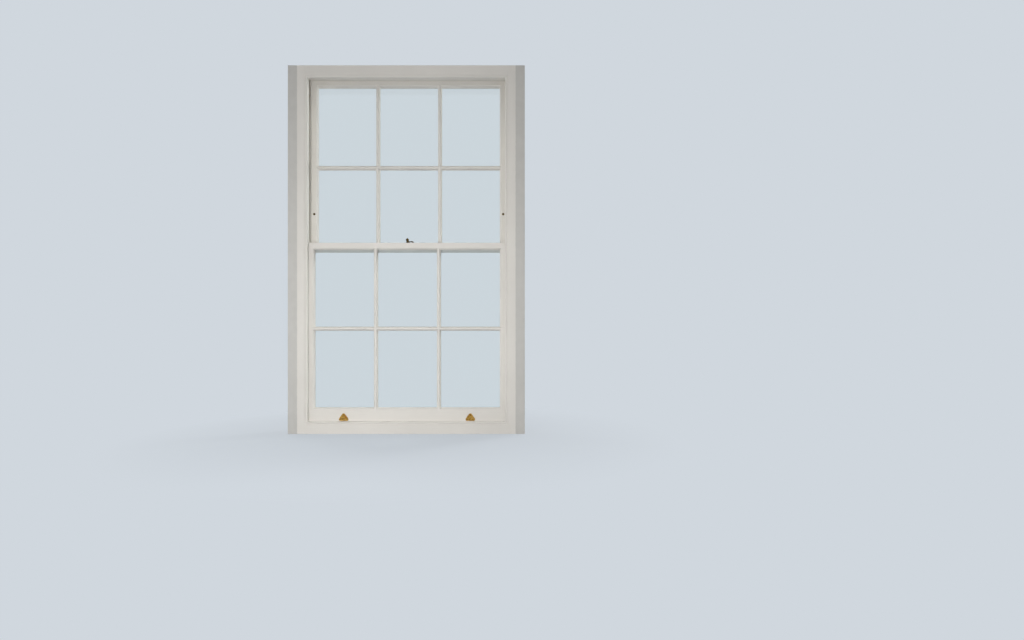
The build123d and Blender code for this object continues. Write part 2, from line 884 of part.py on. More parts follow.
with BuildPart() as fastener_lever:
    lever_plane = Plane(origin=(0, pivot_y, lever_z), z_dir=(0, 0, 1))
    with BuildSketch(lever_plane):
        Circle(boss_radius)
        with Locations((0, -knob_reach / 2)):
            Rectangle(knob_radius, knob_reach)
    extrude(amount=lever_thickness)
    with BuildSketch(lever_plane):
        with BuildLine():
            ring = {}
            for radius in (claw_inner_radius, claw_outer_radius):
                ring[radius] = CenterArc((0, 0), radius, claw_start, claw_end - claw_start)
            for end in (0, 1):
                Line(ring[claw_inner_radius] @ end, ring[claw_outer_radius] @ end)
        make_face()
        with BuildLine():
            web = CenterArc((0, 0), claw_inner_radius + claw_web_lap, claw_start, claw_web)
            Line((0, 0), web @ 0)
            Line((0, 0), web @ 1)
        make_face()
    extrude(amount=claw_thickness)
    with BuildSketch(Plane(origin=(0, pivot_y - knob_reach, lever_z), x_dir=(1, 0, 0), z_dir=(0, -1, 0))):
        tall = meeting_top_z + knob_height - lever_z
        with BuildLine():
            Polyline((0, tall), (0, 0), (knob_foot_radius, 0), knob_neck)
            Spline(knob_neck, (knob_radius, knob_belly_rise), knob_shoulder, (0, tall))
        make_face()
    revolve(axis=Axis((0, pivot_y - knob_reach, lever_z), (0, 0, 1)))
    with BuildSketch(lever_plane):
        Circle(pivot_radius + pivot_gap)
    extrude(amount=lever_thickness, mode=Mode.SUBTRACT)

with BuildPart() as fastener_keep:
    with BuildSketch(Plane.XY.offset(meeting_top_z)):
        with Locations((0, keep_y + keep_width / 2)):
            RectangleRounded(keep_length, keep_width, keep_corner_radius)
    extrude(amount=fastener_plate)
    with BuildSketch(Plane.XY.offset(plate_top_z)):
        with Locations((0, keep_y + keep_post_depth / 2)):
            Rectangle(keep_post_width, keep_post_depth)
    extrude(amount=keep_post_height)
    with BuildSketch(Plane.XY.offset(plate_top_z + keep_post_height - keep_lip_thickness)):
        with Locations((0, keep_y + (keep_post_depth + keep_lip) / 2)):
            Rectangle(keep_post_width, keep_post_depth + keep_lip)
    extrude(amount=keep_lip_thickness)
    add(keep_screws, mode=Mode.SUBTRACT)

lower_meeting_rail = cut(
    joined(lower_meeting_body.part, lower_meeting_tenon, mirrored(lower_meeting_tenon)),
    *lower_stiles,
    *fastener_screws,
)

lower_bars = vertical_bars(
    lower_face_y,
    bottom_sight_z - moulding_width,
    meeting_z + moulding_width,
    [bottom_rail, lower_meeting_rail],
)
lower_cross = cross_bars(lower_face_y, lower_bar_z, lower_stiles, lower_bars)
save_pair(lower_stile, "lower_stile")
save(bottom_rail, "lower_bottom_rail")
save(lower_meeting_rail, "lower_meeting_rail")
save(lower_bars, "lower_vertical_bars")
save(lower_cross, "lower_cross_bars")
save(panes(lower_face_y, lower_rows), "lower_panes")
save(putty(lower_face_y, lower_rows, [lower_meeting_rail]), "lower_putty")
save(fastener_base.part, "fastener_base")
save(fastener_lever.part, "fastener_lever")
lower_screws = [*lift_screws, *map(mirrored, lift_screws), *fastener_screws]
save(group(lower_screws), "lower_sash_screws")

# Upper sash

upper_rows = [
    (meeting_top_z + pane_height / 2, pane_height),
    (top_sight_z - top_pane_height / 2, top_pane_height),
]
stop_x = shoulder_x + stop_inset
stop_z = meeting_top_z + stop_height

with BuildPart() as stop_socket:
    socket_face = Plane(origin=(stop_x, upper_face_y, stop_z), z_dir=(0, 1, 0))
    with BuildSketch(socket_face):
        Circle(stop_body_radius)
    extrude(amount=stop_length)
    with BuildSketch(socket_face):
        Circle(stop_flange_radius)
    extrude(amount=-stop_flange)
    with BuildSketch(socket_face.offset(-stop_flange)):
        Circle(stop_recess_radius)
    extrude(amount=stop_recess_depth, mode=Mode.SUBTRACT)

with BuildPart() as stop_hole:
    with BuildSketch(socket_face):
        Circle(stop_body_radius)
    extrude(amount=stop_length)

top_tenon = tenon(upper_face_y, (top_sight_z + tenon_shoulder, sash_top_z), stub_end_x)
upper_meeting_tenon = tenon(upper_face_y, meeting_tenon_z, sash_x)
upper_stile = sash_stile(
    upper_face_y, meeting_z, sash_top_z, sash_top_z, [top_tenon, upper_meeting_tenon], [stop_hole.part]
)
upper_stiles = [upper_stile, mirrored(upper_stile)]
top_rail = cut(
    joined(rail(upper_face_y, top_sight_z, top_rail_height, 1), top_tenon, mirrored(top_tenon)),
    *upper_stiles,
)
upper_meeting_rail = cut(
    joined(upper_meeting_body.part, upper_meeting_tenon, mirrored(upper_meeting_tenon)),
    *upper_stiles,
    *keep_screws,
)
upper_bars = vertical_bars(
    upper_face_y, meeting_top_z - rebate_width, top_sight_z + moulding_width, [top_rail, upper_meeting_rail]
)
upper_cross = cross_bars(upper_face_y, upper_bar_z, upper_stiles, upper_bars)
save_pair(upper_stile, "upper_stile")
save(top_rail, "upper_top_rail")
save(upper_meeting_rail, "upper_meeting_rail")
save(upper_bars, "upper_vertical_bars")
save(upper_cross, "upper_cross_bars")
save(panes(upper_face_y, upper_rows), "upper_panes")
save(putty(upper_face_y, upper_rows, []), "upper_putty")
save(fastener_keep.part, "fastener_keep")
save(group([stop_socket.part, mirrored(stop_socket.part)]), "stop_sockets")
save(group(keep_screws), "upper_sash_screws")

# Hook lifts

with BuildPart() as sash_lift:
    with BuildSketch(Plane.XZ.offset(-lower_face_y)):
        lobes = [(lift_x + x, lift_height + z) for x, z in lift_screw_spots]
        with Locations(*lobes):
            Circle(lift_lobe_radius)
        with BuildLine():
            Polyline(*lobes, close=True)
        make_face()
        offset(amount=lift_hollow_radius)
        offset(amount=-lift_hollow_radius)
    extrude(amount=lift_plate)
    with BuildSketch(Plane.YZ.offset(lift_x - hook_width / 2)):
        root_z = lift_height - hook_root_drop
        turn = (lift_y - hook_reach + hook_rise, root_z + hook_rise)
        with BuildLine():
            outside = CenterArc(turn, hook_rise, -180, 90)
            inside = CenterArc(turn, hook_rise - hook_thickness, -180, 90)
            Line(outside @ 0, inside @ 0)
            Polyline(outside @ 1, (lift_y, root_z), (lift_y, root_z + hook_thickness), inside @ 1)
        make_face()
    extrude(amount=hook_width)
    fillet(sash_lift.edges().filter_by(Axis.Y).group_by(Axis.Z)[-1], hook_corner_radius)
    add(lift_screws, mode=Mode.SUBTRACT)
save_pair(sash_lift.part, "sash_lift")

# Cords over the pulleys, and the weights that they carry

sash_cord_x = pulley_x - cord_turn_radius
weight_x = pulley_x + cord_turn_radius


def sash_cord(y, knot_z, weight_top_z):
    """A cord from its knot in the sash, over the pulley and down to its knot in the weight."""
    knot_seat_z = weight_top_z - weight_eye_depth - knot_radius - seat_gap
    with BuildPart() as cord:
        with BuildLine():
            Line((sash_cord_x, y, knot_z), (sash_cord_x, y, pulley_z))
            ThreePointArc(
                (sash_cord_x, y, pulley_z),
                (pulley_x, y, pulley_z + cord_turn_radius),
                (weight_x, y, pulley_z),
            )
            Line((weight_x, y, pulley_z), (weight_x, y, knot_seat_z))
        with BuildSketch(Plane(origin=(sash_cord_x, y, knot_z), z_dir=(0, 0, 1))):
            Circle(cord_radius)
        sweep()
        with Locations((sash_cord_x, y, knot_z), (weight_x, y, knot_seat_z)):
            Sphere(knot_radius)
    return cord.part


def sash_weight(y, top_z, length):
    """A cast cylinder with an eye in its top and a side pocket for the cord's knot."""
    with BuildPart() as weight:
        with BuildSketch(Plane.XY.offset(top_z)):
            with Locations((weight_x, y)):
                Circle(weight_radius)
        extrude(amount=-length)
        chamfer(weight.edges().filter_by(GeomType.CIRCLE), weight_edge)
        with BuildSketch(Plane.XY.offset(top_z)):
            with Locations((weight_x, y)):
                Circle(weight_eye_radius)
        extrude(amount=-weight_eye_depth, mode=Mode.SUBTRACT)
        with BuildSketch(Plane.XZ.offset(-y - weight_pocket_width / 2)):
            with Locations((weight_x, top_z - weight_eye_depth - weight_pocket_height / 2)):
                RectangleRounded(weight_pocket_width, weight_pocket_height, weight_pocket_corner_radius)
        extrude(amount=weight_pocket_width / 2 + weight_radius, mode=Mode.SUBTRACT)
    return weight.part


lower_weight_top_z = pulley_z - weight_below_pulley
upper_weight_top_z = sill_thickness + weight_off_sill + upper_weight_length
for sash, y, sash_top, weight_top, length in (
    ("lower", lower_cord_y, meeting_top_z, lower_weight_top_z, lower_weight_length),
    ("upper", upper_cord_y, sash_top_z, upper_weight_top_z, upper_weight_length),
):
    save_pair(sash_cord(y, sash_top - cord_length_in_sash, weight_top), f"cord_{sash}")
    save_pair(sash_weight(y, weight_top, length), f"sash_weight_{sash}")
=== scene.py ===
"""Dresses the packed sash window: painted timbers, glass, braided cords, brass fittings, iron weights."""

import json
import logging
import math
from dataclasses import dataclass
from enum import Enum

import bmesh
import bpy
from mathutils import Matrix, Vector


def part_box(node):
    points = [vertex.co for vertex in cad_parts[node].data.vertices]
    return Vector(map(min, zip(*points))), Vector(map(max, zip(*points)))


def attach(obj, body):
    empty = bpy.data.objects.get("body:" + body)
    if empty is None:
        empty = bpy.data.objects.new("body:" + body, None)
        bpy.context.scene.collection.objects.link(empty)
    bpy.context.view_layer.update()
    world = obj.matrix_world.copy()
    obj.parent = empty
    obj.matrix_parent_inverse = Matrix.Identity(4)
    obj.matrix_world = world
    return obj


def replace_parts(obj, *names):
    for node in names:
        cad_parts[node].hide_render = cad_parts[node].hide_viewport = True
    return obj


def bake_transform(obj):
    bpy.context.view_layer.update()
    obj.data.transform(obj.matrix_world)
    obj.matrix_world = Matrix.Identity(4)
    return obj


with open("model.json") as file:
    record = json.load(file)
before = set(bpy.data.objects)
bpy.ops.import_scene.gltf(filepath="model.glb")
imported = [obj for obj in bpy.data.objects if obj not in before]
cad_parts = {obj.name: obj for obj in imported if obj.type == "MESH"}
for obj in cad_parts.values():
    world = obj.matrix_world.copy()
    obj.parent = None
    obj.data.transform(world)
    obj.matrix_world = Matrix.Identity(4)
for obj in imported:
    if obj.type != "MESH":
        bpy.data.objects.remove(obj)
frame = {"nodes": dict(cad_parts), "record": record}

LOG = logging.getLogger("sash_window")
MM = 0.001
SIDES = (("left", -1), ("right", 1))
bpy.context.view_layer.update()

# The pulleys' middles, and the cords that turn over them
PULLEY_X = 559 * MM
PULLEY_Z = 1809 * MM
TURN_RADIUS = 26 * MM
CORD_Y = {"lower": -46.5 * MM, "upper": 9.5 * MM}
# The knots' heights in each sash and in its weights
KNOT_Z = {"lower": (835 * MM, 1697.6 * MM), "upper": (1723.6 * MM, 782.6 * MM)}

# The lifts' middles, the face of their plates and the three lobes that take a screw each
LIFT_X = 337 * MM
LIFT_Z = 86 * MM
LIFT_FACE = -71.5 * MM
LIFT_LOBES = ((-17 * MM, -11 * MM), (17 * MM, -11 * MM), (0.0, 12 * MM))

Colour = tuple[float, float, float, float]
Spot = tuple[float, float, float]
Socket = bpy.types.NodeSocket


def srgb(red: int, green: int, blue: int) -> Colour:
    """Turns a screen colour into the linear colour that shaders take.

    Args:
        red: Red, 0 to 255.
        green: Green, 0 to 255.
        blue: Blue, 0 to 255.

    Returns:
        The linear colour, opaque.
    """
    shares = (channel / 255 for channel in (red, green, blue))
    linear = (s / 12.92 if s <= 0.04045 else ((s + 0.055) / 1.055) ** 2.4 for s in shares)
    return (*linear, 1.0)


def dimmed(colour: Colour, share: float) -> Colour:
    """A colour at a share of its brightness."""
    return (*(channel * share for channel in colour[:3]), 1.0)


# Finishes


class Grain(Enum):
    """Which way a timber runs, as the scale that stretches a pattern along it."""

    UPRIGHT = (1.0, 1.0, 0.035)
    ACROSS = (0.035, 1.0, 1.0)


class Shader:
    """A material in the making: adds nodes, links them and ends in one surface."""

    # A Mix node's share and two colours, and its mixed colour
    MIX_INPUTS = (0, 6, 7)
    MIX_OUTPUT = 2

    def __init__(self, name: str) -> None:
        """Starts an empty material.

        Args:
            name: The material's name.
        """
        self.material = bpy.data.materials.new(name)
        self.material.use_nodes = True
        self.tree = self.material.node_tree
        self.tree.nodes.clear()
        self.surface = self.add("ShaderNodeBsdfPrincipled")
        self.place = self.add("ShaderNodeTexCoord").outputs["Object"]

    def add(self, kind: str, **settings: object) -> bpy.types.Node:
        """Adds a node.

        Args:
            kind: The node's type.
            settings: Properties of the node, by name.

        Returns:
            The node.
        """
        node = self.tree.nodes.new(kind)
        for key, value in settings.items():
            setattr(node, key, value)
        return node

    def put(self, socket: Socket, value: object) -> None:
        """Links a socket to another, or sets it to a value.

        Args:
            socket: The input.
            value: A socket or a plain value.
        """
        if isinstance(value, Socket):
            self.tree.links.new(value, socket)
        else:
            socket.default_value = value

    def feed(self, node: bpy.types.Node, **values: object) -> bpy.types.Node:
        """Fills a node's inputs, named with underscores for spaces.

        Args:
            node: The node.
            values: A socket or a value for each input, by name.

        Returns:
            The same node.
        """
        for key, value in values.items():
            self.put(node.inputs[key.replace("_", " ")], value)
        return node

    def stretched(self, scale: Spot) -> Socket:
        """Object coordinates scaled along each axis."""
        return self.feed(self.add("ShaderNodeMapping"), Vector=self.place, Scale=scale).outputs[0]

    def noise(self, scale: float, detail: float = 3.0, vector: Socket | None = None) -> Socket:
        """A noise pattern.

        Args:
            scale: How many times it repeats in a metre.
            detail: How many finer layers it has.
            vector: Where it is read; object coordinates if left out.

        Returns:
            The pattern, 0 to 1.
        """
        node = self.add("ShaderNodeTexNoise")
        return self.feed(node, Vector=vector or self.place, Scale=scale, Detail=detail).outputs[0]

    def ramp(
        self, source: Socket, low: float, high: float, first: float = 0.0, last: float = 1.0
    ) -> Socket:
        """Maps one range onto another, held at its ends.

        Args:
            source: The socket to map.
            low: Where the first range starts.
            high: Where it ends.
            first: What low becomes.
            last: What high becomes.

        Returns:
            The mapped socket.
        """
        node = self.add("ShaderNodeMapRange", clamp=True)
        values = {"Value": source, "From_Min": low, "From_Max": high, "To_Min": first, "To_Max": last}
        return self.feed(node, **values).outputs[0]

    def mix(self, share: Socket | float, first: Socket | Colour, second: Socket | Colour) -> Socket:
        """Mixes two colours.

        Args:
            share: How much of the second shows.
            first: A colour or a socket.
            second: A colour or a socket.

        Returns:
            The mixed colour.
        """
        node = self.add("ShaderNodeMix", data_type="RGBA")
        for index, value in zip(self.MIX_INPUTS, (share, first, second)):
            self.put(node.inputs[index], value)
        return node.outputs[self.MIX_OUTPUT]

    def reckon(self, operation: str, *values: Socket | float) -> Socket:
        """One step of arithmetic.

        Args:
            operation: The Math node's operation.
            values: Its operands.

        Returns:
            The result.
        """
        node = self.add("ShaderNodeMath", operation=operation)
        for socket, value in zip(node.inputs, values):
            self.put(socket, value)
        return node.outputs[0]

    def axes(self) -> list[Socket]:
        """X, Y and Z of the object coordinates, each by itself."""
        return list(self.feed(self.add("ShaderNodeSeparateXYZ"), Vector=self.place).outputs)

    def relief(self, *layers: tuple[Socket, float]) -> Socket:
        """A normal raised by several patterns.

        Args:
            layers: Each pattern with its height in metres.

        Returns:
            The normal.
        """
        normal = None
        for height, distance in layers:
            node = self.feed(self.add("ShaderNodeBump"), Height=height, Distance=distance, Strength=1.0)
            if normal:
                self.feed(node, Normal=normal)
            normal = node.outputs[0]
        return normal

    def finish(self, **values: object) -> bpy.types.Material:
        """Fills the surface's inputs and closes the material.

        Args:
            values: Values or sockets of the surface, by input name.

        Returns:
            The finished material.
        """
        self.feed(self.surface, **values)
        self.put(self.add("ShaderNodeOutputMaterial").inputs[0], self.surface.outputs[0])
        return self.material


@dataclass(frozen=True)
class Paint:
    """Brushed off-white paint with streaks along the timber, on a box lining with primer outside it."""

    name: str
    grain: Grain
    tint: Colour = srgb(220, 216, 209)
    roughness: float = 0.4
    brush_marks: float = 0.03 * MM
    primed_from: float | None = None
    primer: Colour = srgb(198, 196, 191)
    primer_roughness: float = 0.85
    primer_edge: float = 0.4 * MM
    primer_wander: float = 0.7 * MM
    # Darker scuffs along a track: partly wear from the sliding sash, partly painted shade in the recess of
    # the box
    wear_and_shade: float = 0.0
    wear_and_shade_tint: Colour = srgb(128, 118, 102)
    streak_scale: float = 420.0
    lap_scale: float = 90.0
    patch_scale: float = 3.2
    wear_and_shade_scale: float = 55.0
    pit_scale: float = 800.0
    pit_depth: float = 0.01 * MM

    def material(self) -> bpy.types.Material:
        """Makes the paint.

        Returns:
            The material.
        """
        shade = Shader(self.name)
        along = shade.stretched(self.grain.value)
        streaks = shade.noise(self.streak_scale, 2.0, along)
        laps = shade.noise(self.lap_scale, 1.0, along)
        patches = shade.noise(self.patch_scale, 3.0)
        colour = shade.mix(shade.ramp(patches, 0.35, 0.72), self.tint, dimmed(self.tint, 0.93))
        colour = shade.mix(shade.ramp(streaks, 0.5, 0.85, 0.0, 0.6), colour, dimmed(self.tint, 0.9))
        rough = shade.ramp(streaks, 0.2, 0.8, self.roughness - 0.05, self.roughness + 0.1)
        # Darker scuffs along the timber: partly wear, partly painted shade in the track's recess
        if self.wear_and_shade:
            wear_and_shade_marks = shade.ramp(shade.noise(self.wear_and_shade_scale, 4.0, along), 0.4, 0.75)
            colour = shade.mix(shade.reckon("MULTIPLY", wear_and_shade_marks, self.wear_and_shade), colour, self.wear_and_shade_tint)
        if self.primed_from:
            reach = self.primer_wander
            wander = shade.ramp(shade.noise(60.0, 2.0), 0.3, 0.7, -reach, reach)
            out = shade.reckon("ADD", shade.reckon("ABSOLUTE", shade.axes()[0]), wander)
            bare = shade.ramp(out, self.primed_from, self.primed_from + self.primer_edge)
            chalk = shade.mix(shade.noise(24.0, 5.0), self.primer, dimmed(self.primer, 0.86))
            colour = shade.mix(bare, colour, chalk)
            rough = shade.ramp(bare, 0.0, 1.0, self.roughness, self.primer_roughness)
        relief = shade.relief(
            (shade.noise(self.pit_scale, 1.0), self.pit_depth),
            (laps, 2 * self.brush_marks),
            (streaks, self.brush_marks),
        )
        return shade.finish(Base_Color=colour, Roughness=rough, Normal=relief)


@dataclass(frozen=True)
class Pine:
    """Unpainted flat-sawn pine: rings about a slanting heart beside the box, greyed and dusty."""

    name: str
    heart_x: float = 700 * MM
    heart_y: float = -60 * MM
    slant: float = 0.035
    wander: float = 26 * MM
    ring: float = 5.5 * MM
    early: Colour = srgb(206, 180, 140)
    late: Colour = srgb(168, 128, 86)
    dust: Colour = srgb(184, 176, 164)
    ring_depth: float = 0.05 * MM
    pore_scale: float = 900.0
    pore_depth: float = 0.1 * MM

    def material(self) -> bpy.types.Material:
        """Makes the bare timber.

        Returns:
            The material.
        """
        shade = Shader(self.name)
        x, y, z = shade.axes()
        along = shade.stretched(Grain.UPRIGHT.value)
        bend = shade.ramp(shade.noise(1.6, 1.0), 0.25, 0.75, -self.wander, self.wander)
        out = shade.reckon("SUBTRACT", shade.reckon("ABSOLUTE", x), self.heart_x)
        lean = shade.reckon("ADD", shade.reckon("MULTIPLY", z, self.slant), bend)
        aside = shade.reckon("SUBTRACT", shade.reckon("SUBTRACT", y, self.heart_y), lean)
        squares = shade.reckon("ADD", shade.reckon("POWER", out, 2.0), shade.reckon("POWER", aside, 2.0))
        turns = shade.reckon("FRACT", shade.reckon("DIVIDE", shade.reckon("SQRT", squares), self.ring))
        bands = shade.reckon("POWER", turns, 3.0)
        pores = shade.noise(self.pore_scale, 2.0, along)
        colour = shade.mix(shade.reckon("MULTIPLY", bands, 0.8), self.early, self.late)
        colour = shade.mix(shade.ramp(pores, 0.5, 0.8, 0.0, 0.35), colour, self.late)
        colour = shade.mix(shade.ramp(shade.noise(7.0, 5.0), 0.4, 0.75, 0.1, 0.6), colour, self.dust)
        relief = shade.relief((bands, self.ring_depth), (pores, self.pore_depth))
        return shade.finish(Base_Color=colour, Roughness=0.8, Normal=relief)


@dataclass(frozen=True)
class Metal:
    """A metal with cloudy tarnish and a fine surface."""

    name: str
    bright: Colour
    dull: Colour
    roughness: float
    metallic: float = 1.0
    grit: float = 0.01 * MM
    grit_scale: float = 1400.0
    cloud_scale: float = 120.0

    def material(self) -> bpy.types.Material:
        """Makes the metal.

        Returns:
            The material.
        """
        shade = Shader(self.name)
        clouds = shade.noise(self.cloud_scale, 5.0)
        colour = shade.mix(shade.ramp(clouds, 0.38, 0.68), self.bright, self.dull)
        rough = shade.ramp(clouds, 0.3, 0.7, self.roughness * 0.85, self.roughness * 1.3)
        grit = shade.noise(self.grit_scale, 3.0)
        relief = shade.relief((clouds, 2 * self.grit), (grit, self.grit))
        return shade.finish(Base_Color=colour, Metallic=self.metallic, Roughness=rough, Normal=relief)


@dataclass(frozen=True)
class WheelBrass:
    """Turned brass with fine rings round the pulley's axle."""

    name: str
    bright: Colour = srgb(188, 150, 86)
    dull: Colour = srgb(120, 92, 48)
    roughness: float = 0.36
    ring: float = 0.5 * MM
    ring_depth: float = 0.004 * MM
    cloud_scale: float = 110.0
    cloud_depth: float = 0.02 * MM

    def material(self) -> bpy.types.Material:
        """Makes the turned brass.

        Returns:
            The material.
        """
        shade = Shader(self.name)
        x, _, z = shade.axes()
        out = shade.reckon("SUBTRACT", shade.reckon("ABSOLUTE", x), PULLEY_X)
        up = shade.reckon("SUBTRACT", z, PULLEY_Z)
        squares = shade.reckon("ADD", shade.reckon("POWER", out, 2.0), shade.reckon("POWER", up, 2.0))
        radius = shade.reckon("SQRT", squares)
        rings = shade.reckon("SINE", shade.reckon("MULTIPLY", radius, math.tau / self.ring))
        clouds = shade.noise(self.cloud_scale, 4.0)
        colour = shade.mix(shade.ramp(clouds, 0.35, 0.7), self.bright, self.dull)
        relief = shade.relief((rings, self.ring_depth), (clouds, self.cloud_depth))
        return shade.finish(Base_Color=colour, Metallic=1.0, Roughness=self.roughness, Normal=relief)


@dataclass(frozen=True)
class BraidedCotton:
    """Waxed cotton braid that follows a cord up one side of its pulley and down the other."""

    name: str
    middle_y: float = (CORD_Y["upper"] + CORD_Y["lower"]) / 2
    spread_y: float = (CORD_Y["upper"] - CORD_Y["lower"]) / 2
    strands: float = 4.0
    pitch: float = 8.17 * MM
    thread: Colour = srgb(226, 219, 201)
    # A darker tint: painted shade in the grooves between strands, and the cord's own uneven patches
    groove_shade_and_patch_tint: Colour = srgb(168, 156, 132)
    roughness: float = 0.82
    sheen: float = 0.25
    strand_depth: float = 0.5 * MM
    fuzz_scale: float = 2400.0
    fuzz_depth: float = 0.05 * MM

    def material(self) -> bpy.types.Material:
        """Makes the braid.

        Returns:
            The material.
        """
        shade = Shader(self.name)
        x, y, z = shade.axes()
        out = shade.reckon("SUBTRACT", shade.reckon("ABSOLUTE", x), PULLEY_X)
        over = shade.reckon("MAXIMUM", shade.reckon("SUBTRACT", z, PULLEY_Z), 0.0)
        squares = shade.reckon("ADD", shade.reckon("POWER", out, 2.0), shade.reckon("POWER", over, 2.0))
        across = shade.reckon("SUBTRACT", shade.reckon("SQRT", squares), TURN_RADIUS)
        offset = shade.reckon("ABSOLUTE", shade.reckon("SUBTRACT", y, self.middle_y))
        beside = shade.reckon("SUBTRACT", offset, self.spread_y)
        round_cord = shade.reckon("MULTIPLY", shade.reckon("ARCTAN2", beside, across), self.strands / 2)
        swing = shade.reckon("MULTIPLY", shade.reckon("ARCTAN2", over, out), TURN_RADIUS)
        below = shade.reckon("MINIMUM", shade.reckon("SUBTRACT", z, PULLEY_Z), 0.0)
        along = shade.reckon("MULTIPLY", shade.reckon("ADD", swing, below), math.tau / self.pitch)
        right = shade.reckon("ABSOLUTE", shade.reckon("SINE", shade.reckon("ADD", along, round_cord)))
        left = shade.reckon("ABSOLUTE", shade.reckon("SINE", shade.reckon("SUBTRACT", along, round_cord)))
        braid = shade.reckon("MULTIPLY", right, left)
        fuzz = shade.noise(self.fuzz_scale, 2.0)
        # Darker in the grooves between strands: painted shade in the braid's creases
        colour = shade.mix(shade.ramp(braid, 0.0, 0.45), self.groove_shade_and_patch_tint, self.thread)
        # Random darker patches: the cord's own uneven tone
        colour = shade.mix(shade.ramp(shade.noise(30.0, 3.0), 0.4, 0.7, 0.0, 0.35), colour, self.groove_shade_and_patch_tint)
        relief = shade.relief((braid, self.strand_depth), (fuzz, self.fuzz_depth))
        return shade.finish(
            Base_Color=colour, Roughness=self.roughness, Sheen_Weight=self.sheen, Normal=relief
        )


@dataclass(frozen=True)
class SheetGlass:
    """Clear drawn glass, faintly wavy, which lets lamps through."""

    name: str
    tint: Colour = srgb(249, 253, 252)
    index: float = 1.5
    drawn: Spot = (1.0, 1.0, 0.45)
    wave_scale: float = 5.0
    wave_depth: float = 0.25 * MM

    def material(self) -> bpy.types.Material:
        """Makes the glass.

        Returns:
            The material.
        """
        shade = Shader(self.name)
        waves = shade.noise(self.wave_scale, 1.0, shade.stretched(self.drawn))
        shade.feed(
            shade.surface, Base_Color=self.tint, Roughness=0.0, IOR=self.index, Transmission_Weight=1.0,
            Normal=shade.relief((waves, self.wave_depth)),
        )
        clear = shade.feed(shade.add("ShaderNodeBsdfTransparent"), Color=self.tint)
        join = shade.add("ShaderNodeMixShader")
        shade.put(join.inputs[0], shade.add("ShaderNodeLightPath").outputs["Is Shadow Ray"])
        shade.put(join.inputs[1], shade.surface.outputs[0])
        shade.put(join.inputs[2], clear.outputs[0])
        shade.put(shade.add("ShaderNodeOutputMaterial").inputs[0], join.outputs[0])
        return shade.material


@dataclass(frozen=True)
class PaintedPutty:
    """Linseed putty drawn with a knife and painted over."""

    name: str
    tint: Colour = srgb(214, 211, 205)
    roughness: float = 0.5
    lump_scale: float = 160.0
    lump_depth: float = 0.12 * MM
    pit_scale: float = 1100.0
    pit_depth: float = 0.01 * MM

    def material(self) -> bpy.types.Material:
        """Makes the painted putty.

        Returns:
            The material.
        """
        shade = Shader(self.name)
        lumps = shade.noise(self.lump_scale, 3.0)
        patches = shade.ramp(shade.noise(9.0, 4.0), 0.35, 0.7)
        colour = shade.mix(patches, self.tint, dimmed(self.tint, 0.88))
        relief = shade.relief((lumps, self.lump_depth), (shade.noise(self.pit_scale, 2.0), self.pit_depth))
        return shade.finish(Base_Color=colour, Roughness=self.roughness, Normal=relief)


class Finishes:
    """Every finish of the window, by the record's slot."""

    def __init__(self) -> None:
        """Makes all the materials."""
        self.upright = Paint("paint_upright", Grain.UPRIGHT).material()
        self.across = Paint("paint_across", Grain.ACROSS).material()
        self.lining = Paint("paint_lining", Grain.UPRIGHT, primed_from=577 * MM).material()
        # The tracks' tint is lighter than the other paint: painted light against the shade of the recess,
        # with darker scuffs that are partly wear and partly painted shade
        track = Paint("paint_wear_and_shade", Grain.UPRIGHT, tint=srgb(228, 225, 219), wear_and_shade=0.08)
        self.track = track.material()
        recipes = {
            "bare_pine": Pine("bare_pine"),
            "glass": SheetGlass("sheet_glass"),
            "putty": PaintedPutty("painted_putty"),
            "brass": Metal("polished_brass", srgb(236, 190, 98), srgb(176, 130, 58), roughness=0.34),
            "aged_brass": Metal("aged_brass", srgb(122, 98, 48), srgb(66, 52, 26), roughness=0.4),
            "screw_brass": Metal("screw_brass", srgb(196, 152, 80), srgb(128, 92, 44), roughness=0.34),
            "pulley_brass": WheelBrass("turned_brass"),
            "pulley_steel": Metal("axle_steel", srgb(176, 176, 172), srgb(120, 116, 110), roughness=0.35),
            "cast_iron": Metal(
                "cast_iron", srgb(74, 70, 66), srgb(92, 62, 44), roughness=0.62, metallic=0.7,
                grit=0.15 * MM, grit_scale=320.0, cloud_scale=26.0,
            ),
            "cotton_cord": BraidedCotton("braided_cotton"),
        }
        self.by_slot = {slot: recipe.material() for slot, recipe in recipes.items()}

    def of(self, slot: str, box: tuple[Vector, Vector]) -> bpy.types.Material:
        """The finish of a slot, with painted timbers brushed along their length.

        Args:
            slot: The record's material slot.
            box: The timber's two corners.

        Returns:
            The material.
        """
        if slot in self.by_slot:
            return self.by_slot[slot]
        low, high = box
        return self.upright if high.z - low.z > high.x - low.x else self.across


# Meshes


MERGED_WITHIN = 0.01 * MM
FLAT_WITHIN = math.radians(1)
SHARP_FROM = math.radians(32)


